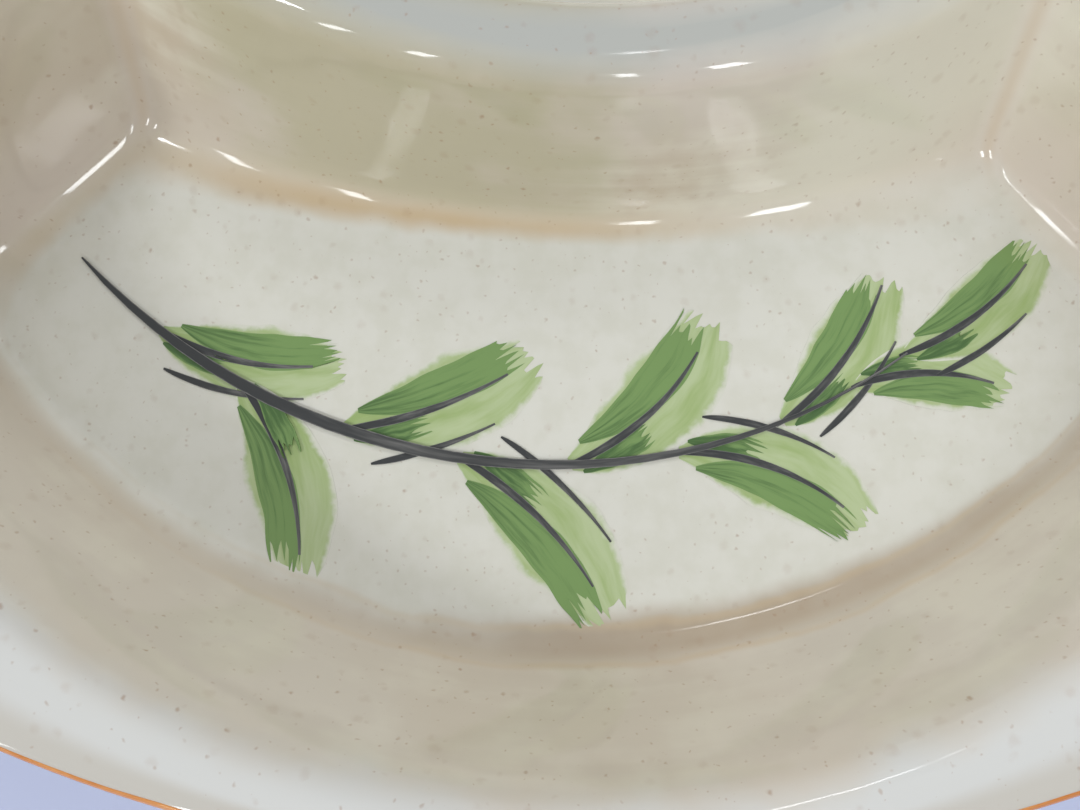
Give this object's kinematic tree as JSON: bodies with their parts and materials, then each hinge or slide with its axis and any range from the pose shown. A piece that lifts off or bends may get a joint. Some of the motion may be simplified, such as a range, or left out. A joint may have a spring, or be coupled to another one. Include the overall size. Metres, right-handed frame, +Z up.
{
  "type": "divided dish",
  "caption": "Round glazed stoneware serving dish with a round centre well, lobed compartments around it, sloping dividers on the diagonals, a flat flange and a coloured rim line.",
  "frame": {"origin": "on the table, under the centre of the dish", "axes": "+Z up out of the dish, -Y towards the pictured compartment, +X to its right"},
  "size_m": [0.334, 0.334, 0.039],
  "materials": {
    "cream_glaze": "clear gloss glaze over speckled cream stoneware",
    "washed_glaze": "gloss glaze over a brushed tan wash",
    "flange_glaze": "gloss glaze over pale stoneware",
    "orange_enamel": "brushed orange enamel under gloss glaze",
    "bare_stoneware": "unglazed, sanded"
  },
  "bodies": {
    "root": {"base_plate": "cream_glaze", "centre_ring": "washed_glaze", "divider_front_left": "washed_glaze", "divider_front_right": "washed_glaze", "divider_back_right": "washed_glaze", "divider_back_left": "washed_glaze", "lobe_wall_front": "washed_glaze", "lobe_wall_right": "washed_glaze", "lobe_wall_back": "washed_glaze", "lobe_wall_left": "washed_glaze", "rim_flange": "flange_glaze", "foot_ring": "bare_stoneware", "rim_line": "orange_enamel"}
  },
  "joints": []
}
